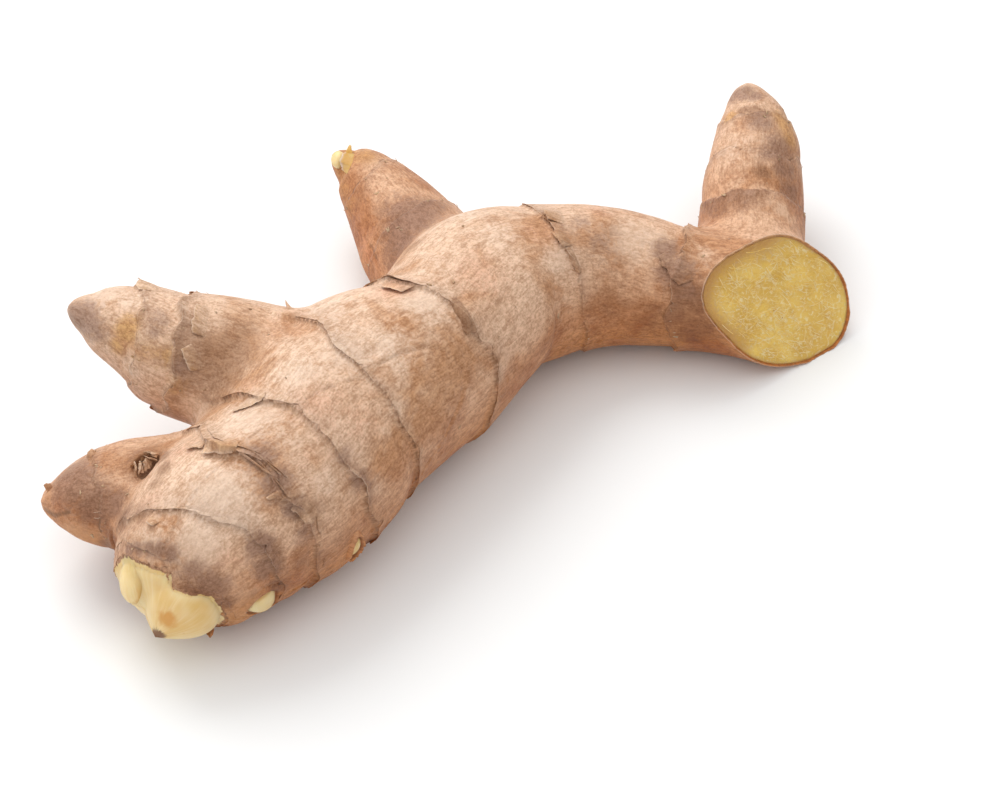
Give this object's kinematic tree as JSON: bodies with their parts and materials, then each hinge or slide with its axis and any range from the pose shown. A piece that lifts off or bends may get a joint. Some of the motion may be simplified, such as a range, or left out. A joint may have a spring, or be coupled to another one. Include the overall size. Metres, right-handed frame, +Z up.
{
  "type": "ginger root",
  "caption": "Fresh ginger rhizome: a bent, knobbly root with side fingers, torn scale rings, a bare shoot bud and one sliced end.",
  "frame": {"origin": "middle of the bounding box in plan, at the height of the surface that the root lies on", "axes": "+Z up, with the root lying as it rests; +X along its longest extent, towards the sliced end; +Y towards the two fingers at the back"},
  "size_m": [0.1448, 0.129, 0.0363],
  "materials": {
    "skin": "matt tan skin with fine fibres, pinkish-grey bands at the scale rings and a faint sheen",
    "flesh": "moist yellow-green cut flesh with pale fibres",
    "bud": "smooth cream shoot bud with fine lengthwise lines",
    "dry_scale": "thin dry papery scale, matt and slightly see-through"
  },
  "bodies": {
    "root": {"ginger_rhizome": "skin"}
  },
  "joints": []
}
